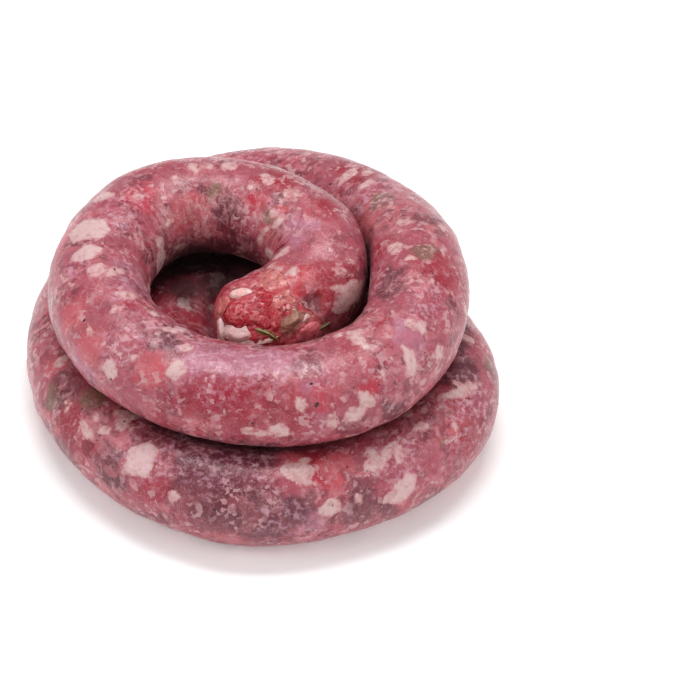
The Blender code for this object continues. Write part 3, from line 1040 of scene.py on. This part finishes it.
def lay_fat(skin, place, wavy):
    """Pieces of fat, with ragged edges and a mottled middle."""
    ragged = skin.field("fat") + (skin.cloud(place, 1.8, 4.0, 0.6) - 0.5) * 2.3
    fat = skin.rise(ragged, -0.25, 0.4)
    colour = skin.blend(skin.rise(ragged, 0.0, 0.95), (210, 154, 152), (228, 203, 198))
    mottled = skin.patches(wavy, 2.4, 0.48, 0.72, 3.0)
    colour = skin.blend(mottled * 0.55, colour, (198, 148, 145))
    skin.cover(fat * 0.95, colour)
    return fat


def lay_casing(skin, place, wavy):
    """Membranes between the chunks, frost that is partly painted sheen, the rim with nothing behind it, and
    the casing's tint.
    """
    membrane = 1 - skin.rise(skin.edges(wavy, 4.4), 0.0, 0.07)
    skin.cover(membrane * skin.patches(place, 7.0, 0.5, 0.62) * 0.28, (226, 180, 178))
    # Pale specks where frost lies, partly painted sheen, and faintly everywhere
    specks = skin.patches(place, 2.0, 0.47, 0.66, 4.0, 0.65)
    skin.cover(specks * (skin.field("frost") * 0.46 + 0.03), (230, 190, 206))
    rim = 1 - skin.rise(skin.field("rim"), 0.2, 1.4)
    skin.cover(rim * 0.4, (220, 160, 156))
    skin.cover(1.0, CASING_TINT, "MULTIPLY")


def casing_material():
    """Coarse meat and fat behind a moist, slightly milky natural casing."""
    skin = Recipe("casing over coarse meat")
    place = skin.place()
    wavy = skin.shifted(skin.shifted(place, 6.0, 4.0), 1.8, 1.6)
    lay_lean_meat(skin, place, wavy)
    grain = lay_grains(skin, place, wavy)
    streak = lay_streaks(skin)
    fat = lay_fat(skin, place, wavy)
    lay_casing(skin, place, wavy)
    # Painted shade: places deep in the coil are darkened, and made rougher with less coat
    deep = skin.field("deep")
    skin.cover(deep * 0.85, PAINTED_SHADE_COLOUR)
    height = skin.cloud(place, 1.1, 3.0, 0.6) + fat * 0.4 + grain * 0.3 + streak * 0.4
    relief = skin.bump(height, 0.25, 0.8)
    relief = skin.bump(skin.cloud(place, 0.7, 3.0, 0.7), 0.2, 0.8, relief)
    gloss = 0.38 - skin.patches(place, 5.0, 0.4, 0.65) * 0.12 + deep * 0.5
    return skin.finish(
        Base_Color=skin.colour,
        Roughness=gloss,
        Normal=relief,
        Subsurface_Weight=0.1,
        Subsurface_Radius=(1.0, 0.35, 0.3),
        Subsurface_Scale=0.0015,
        Coat_Weight=(1 - deep) * 0.14,
        Coat_Roughness=0.18,
        Sheen_Weight=0.05,
        Sheen_Roughness=0.4,
        Sheen_Tint=(0.95, 0.8, 0.82, 1.0),
    )


def raw_material():
    """Bare minced pork: wet red meat and firm white fat."""
    meat = Recipe("raw minced pork")
    place = meat.place()
    wavy = meat.shifted(meat.shifted(place, 4.0, 3.0), 1.2, 1.2)
    meat.colour = meat.field("blush", "Color")
    is_fat = meat.rise(meat.field("fat"), 0.0, 0.5)
    dark = meat.patches(wavy, 2.4, 0.5, 0.7, 3.0) * (1 - is_fat)
    meat.cover(dark * 0.5, (128, 20, 42))
    pale = meat.patches(wavy, 1.6, 0.54, 0.7, 4.0, 0.6) * (1 - is_fat)
    meat.cover(pale * 0.28, (218, 130, 130))
    strands = meat.cloud(meat.vector("MULTIPLY", wavy, (1 / 1.2, 1 / 4.0, 1 / 1.2)), 1.0, 4.0, 0.6)
    meat.cover(meat.rise(strands, 0.52, 0.7) * 0.4, (222, 134, 128))
    pits = meat.patches(wavy, 1.3, 0.54, 0.72, 3.0, 0.6) * (1 - is_fat * 0.8)
    meat.cover(pits * 0.4, (110, 10, 28))
    bits = meat.pick(meat.soft_cells(wavy, 1.4, 0.2), "Red", 0.74, 0.88) * (1 - is_fat)
    meat.cover(bits * 0.28, (222, 168, 164))
    blood = meat.patches(wavy, 3.0, 0.56, 0.7, 3.0) * is_fat
    meat.cover(blood * 0.5, (214, 120, 116))
    speckle = meat.patches(place, 0.7, 0.58, 0.72, 3.0, 0.7)
    meat.cover(speckle * 0.28, (234, 186, 180))
    height = meat.cloud(wavy, 1.4, 3.0, 0.6) + strands * 0.5 - pits * 0.5
    relief = meat.bump(height, 0.5, 0.8)
    return meat.finish(
        Base_Color=meat.colour,
        Roughness=0.36,
        Normal=relief,
        Subsurface_Weight=0.18,
        Subsurface_Radius=(1.0, 0.3, 0.25),
        Subsurface_Scale=0.002,
        Coat_Weight=0.28,
        Coat_Roughness=0.16,
    )


def pepper_material():
    pepper = Recipe("cracked black pepper")
    speckle = pepper.patches(pepper.place(), 0.3, 0.45, 0.7)
    colour = pepper.blend(speckle, (24, 14, 16), (92, 70, 58))
    return pepper.finish(Base_Color=colour, Roughness=0.5, Coat_Weight=0.3, Coat_Roughness=0.2)


def seed_material():
    """Dried fennel seed: olive, with pale ribs."""
    seed = Recipe("fennel seed")
    colour = seed.blend(seed.rise(seed.field("rib"), 0.2, 0.8), (88, 74, 42), (204, 190, 134))
    colour = seed.blend(seed.cloud(seed.place(), 1.2) * 0.5, colour, (120, 92, 50))
    return seed.finish(Base_Color=colour, Roughness=0.5, Coat_Weight=0.4, Coat_Roughness=0.2)


def crumb_material():
    fat = Recipe("bits of fat")
    colour = fat.blend(fat.patches(fat.place(), 3.0, 0.4, 0.6), (208, 154, 154), (186, 84, 92))
    return fat.finish(
        Base_Color=colour, Roughness=0.48, Coat_Weight=0.15, Coat_Roughness=0.2,
        Subsurface_Weight=0.15, Subsurface_Radius=(1.0, 0.4, 0.35), Subsurface_Scale=0.0015,
    )


def seed_shape():
    """One ribbed, spindle-shaped fennel seed, lying along X."""
    rings, sides = 15, 40
    points = np.zeros((rings, sides, 3))
    rib = np.zeros((rings, sides))
    angle = 2 * math.pi * np.arange(sides) / sides
    for ring in range(rings):
        along = -1 + 2 * (ring + 0.5) / rings
        girth = max(0.04, 1 - abs(along) ** 2.2) ** 0.75
        ridge = np.maximum(0, np.cos(angle * SEED_RIBS)) ** 3
        radius = girth * (0.82 + 0.18 * ridge)
        points[ring, :, 0] = along * SEED_LENGTH / 2
        points[ring, :, 1] = radius * np.cos(angle) * SEED_WIDTH / 2
        points[ring, :, 2] = radius * np.sin(angle) * SEED_HEIGHT / 2
        rib[ring] = ridge
    poles = [(-SEED_LENGTH / 2 - 0.2, 0, 0), (SEED_LENGTH / 2 + 0.2, 0, 0)]
    return tube("seed shape", points, poles, {"rib": rib})


def crumb_shape():
    """One angular crumb, about one millimetre across."""
    mesh = lump_mesh(1.0, 1.0, 0.75, random.Random(3), CRUMB_DETAIL, 0.0)
    for vert in mesh.verts:
        vert.co *= MM
    return add_object("crumb shape", plain_mesh("crumb shape", mesh))


def strew_tree():
    """Puts a copy of one shape on each point, turned and sized by the point's own fields."""
    tree = bpy.data.node_groups.new("strew", "GeometryNodeTree")
    for name, kind in (("Geometry", "Geometry"), ("Shape", "Object"), ("Material", "Material")):
        tree.interface.new_socket(name, in_out="INPUT", socket_type=f"NodeSocket{kind}")
    tree.interface.new_socket("Geometry", in_out="OUTPUT", socket_type="NodeSocketGeometry")
    add = tree.nodes.new
    inside, outside = add("NodeGroupInput"), add("NodeGroupOutput")
    shape, copies = add("GeometryNodeObjectInfo"), add("GeometryNodeInstanceOnPoints")
    turn, size = add("GeometryNodeInputNamedAttribute"), add("GeometryNodeInputNamedAttribute")
    for node, field in ((turn, "turn"), (size, "size")):
        node.data_type = "FLOAT_VECTOR"
        node.inputs["Name"].default_value = field
    as_rotation = add("FunctionNodeEulerToRotation")
    real, finish = add("GeometryNodeRealizeInstances"), add("GeometryNodeSetMaterial")
    for source, output, target, entry in (
        (inside, "Geometry", copies, "Points"), (inside, "Shape", shape, "Object"),
        (shape, "Geometry", copies, "Instance"), (turn, "Attribute", as_rotation, 0),
        (as_rotation, 0, copies, "Rotation"), (size, "Attribute", copies, "Scale"),
        (copies, "Instances", real, "Geometry"), (real, "Geometry", finish, "Geometry"),
        (inside, "Material", finish, "Material"), (finish, "Geometry", outside, "Geometry"),
    ):
        tree.links.new(source.outputs[output], target.inputs[entry])
    return tree


def strew(name, shape, copies, material, tree):
    """Copies of a shape as one plain mesh. Each has its spot, its turn and its sizes."""
    spots, turns, sizes = zip(*copies)
    points = bpy.data.meshes.new(name)
    points.from_pydata([tuple(Vector(spot) * MM) for spot in spots], [], [])
    mark(points, "turn", np.array(turns))
    mark(points, "size", np.array(sizes))
    carrier = add_object("carrier", points)
    modifier = carrier.modifiers.new("strew", "NODES")
    modifier.node_group = tree
    wanted = {"Shape": shape, "Material": material}
    for item in tree.interface.items_tree:
        if item.in_out == "INPUT" and item.name in wanted:
            modifier[item.identifier] = wanted[item.name]
    graph = bpy.context.evaluated_depsgraph_get()
    data = bpy.data.meshes.new_from_object(carrier.evaluated_get(graph))
    carrier.modifiers.remove(modifier)
    bpy.data.objects.remove(carrier, do_unlink=True)
    data.name = name
    data.shade_smooth()
    return add_object(name, data)


def facing(skin, distance, degrees, spin):
    """The turn of a small thing that lies on the skin, its top facing out."""
    at = int(np.argmin(np.abs(skin.distance - distance)))
    out = direction_at(np.radians(degrees), skin.outward[at], skin.upward[at])
    ahead = skin.along[at]
    frame_of = Matrix((ahead, np.cross(out, ahead), out)).transposed()
    return (frame_of @ Matrix.Rotation(math.radians(spin), 3, "Z")).to_euler()


def make_pepper(skin, tree, crumb, material):
    """Cracked pepper, pressed flat under the casing all along the rope."""
    draw = random.Random(5)
    places = list(PEPPER)
    for _ in range(OTHER_PEPPER):
        distance = draw.uniform(PEPPER_FREE_ENDS, skin.total - PEPPER_FREE_ENDS)
        places.append((distance, draw.uniform(0, 360), draw.triangular(*OTHER_PEPPER_SIZE)))
    copies = []
    for distance, degrees, size in places:
        spot = within_box(spot_on_skin(skin, distance, degrees, -PEPPER_SINK * size), 0.6 * size)
        turn = facing(skin, distance, degrees, draw.uniform(0, 360))
        copies.append((spot, turn, (size, size * draw.uniform(0.6, 1.0), size * 0.6)))
    return strew("pepper", crumb, copies, material, tree)


def make_seeds(skin, tree, seed, material):
    """Fennel seeds in the raw filling at both cut ends."""
    lift = 0.5 * SEED_HEIGHT * (1 - 2 * SEED_SINK)
    copies = []
    for mirrored in (False, True):
        for depth, degrees, spin in END_SEEDS:
            distance = rope_place(skin, depth, mirrored)
            spot = spot_on_skin(skin, distance, degrees, lift)
            copies.append((spot, facing(skin, distance, degrees, spin), (0.97, 1.0, 1.0)))
    return strew("fennel_seeds", seed, copies, material, tree)


def make_crumbs(skin, tree, crumb, material):
    """Small bits of fat and meat that stick to the raw ends."""
    draw = random.Random(11)
    patch_depth, patch_degrees, patch_radius = CRUMB_PATCH
    copies = []
    for mirrored in (False, True):
        rim = ragged_rim(skin, mirrored)
        made = 0
        while made < END_CRUMBS:
            depth = draw.uniform(*CRUMB_DEPTHS)
            degrees = draw.uniform(*CRUMB_TURNS)
            side = round(degrees / 360 * SIDES) % SIDES
            if depth > rim[side] - 1:
                continue
            made += 1
            if made < PATCH_CRUMBS:
                depth = patch_depth + draw.gauss(0, 0.6) * patch_radius
                around = draw.gauss(0, 0.8) * patch_radius
                degrees = patch_degrees + math.degrees(around / ROPE_RADIUS)
            distance = rope_place(skin, depth, mirrored)
            spot = spot_on_skin(skin, distance, degrees, draw.uniform(*CRUMB_LIFT))
            turn = [draw.uniform(0, 6.28) for _ in range(3)]
            size = draw.triangular(*CRUMB_SIZE)
            copies.append((spot, turn, (size * 1.25, size, size * 0.8)))
    return strew("end_crumbs", crumb, copies, material, tree)


def add_light(name, location, size, power):
    light = bpy.data.lights.new(name, "AREA")
    light.shape = "RECTANGLE"
    light.size, light.size_y = size
    light.energy = power
    lamp = add_object(name, light)
    lamp.location = location
    lamp.rotation_euler = (Vector(location) - Vector(AIM)).to_track_quat("Z", "Y").to_euler()


def light_and_floor():
    """A white floor in soft white studio light from above, with a painted shadow where it shows through the
    coil.
    """
    world = bpy.data.worlds.new("studio")
    bpy.context.scene.world = world
    world.use_nodes = True
    sky = world.node_tree.nodes["Background"]
    sky.inputs["Color"].default_value = (1.0, 1.0, 1.0, 1.0)
    sky.inputs["Strength"].default_value = SKY_LIGHT
    for lamp in LAMPS:
        add_light(*lamp)
    data = bpy.data.meshes.new("floor")
    corners = (-1, -1), (1, -1), (1, 1), (-1, 1)
    data.from_pydata([(x * FLOOR_HALF, y * FLOOR_HALF, 0) for x, y in corners], [], [(0, 1, 2, 3)])
    floor = add_object("floor", data)
    plain = Recipe("white floor with painted shadow")
    # Painted shadow: dark and without glow within the coil's middle, white and glowing faintly outside
    from_middle = plain.vector("SUBTRACT", plain.place(), PAINTED_SHADOW_MIDDLE)
    from_middle = plain.node("ShaderNodeVectorMath", {"operation": "LENGTH"}, {0: from_middle}, "Value")
    open_floor = plain.rise(from_middle, *PAINTED_SHADOW_RADII)
    white = plain.blend(open_floor, (80, 62, 62), (250, 250, 250))
    glow = plain.blend(open_floor, (0, 0, 0), (255, 255, 255))
    data.materials.append(plain.finish(
        Base_Color=white, Roughness=0.9, Emission_Color=glow, Emission_Strength=0.1,
    ))


def add_camera():
    """The photo's view: from the front, looking down at the coil."""
    data = bpy.data.cameras.new("camera")
    camera = add_object("camera", data)
    height = math.radians(CAMERA_HEIGHT_ANGLE)
    back = Vector((0.0, -math.cos(height), math.sin(height)))
    camera.location = Vector(AIM) + back * CAMERA_DISTANCE
    camera.rotation_euler = back.to_track_quat("Z", "Y").to_euler()
    data.sensor_width = SENSOR
    data.lens = SENSOR * PIXELS_PER_MM * CAMERA_DISTANCE / MM / FRAME_PIXELS
    data.shift_x, data.shift_y = FRAME_SHIFT
    bpy.context.scene.camera = camera
    bpy.context.scene.view_settings.view_transform = "Standard"
    bpy.context.scene.view_settings.look = "Medium High Contrast"


def dress():
    """Makes every piece of the sausage and says what it stands for."""
    skin = make_skin()
    paint_skin(skin)
    casing = make_casing(skin)
    casing.data.materials.append(casing_material())
    raw = raw_material()
    ends = [make_raw_end(skin, "free_end", False), make_raw_end(skin, "hidden_end", True)]
    for end in ends:
        end.data.materials.clear()
        end.data.materials.append(raw)
    tree = strew_tree()
    crumb, seed = crumb_shape(), seed_shape()
    small = [
        make_pepper(skin, tree, crumb, pepper_material()),
        make_seeds(skin, tree, seed, seed_material()),
        make_crumbs(skin, tree, crumb, crumb_material()),
    ]
    for shape in (crumb, seed):
        bpy.data.objects.remove(shape, do_unlink=True)
    for piece in [casing, *ends, *small]:
        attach(piece, "root")
        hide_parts("sausage")


dress()
light_and_floor()
add_camera()
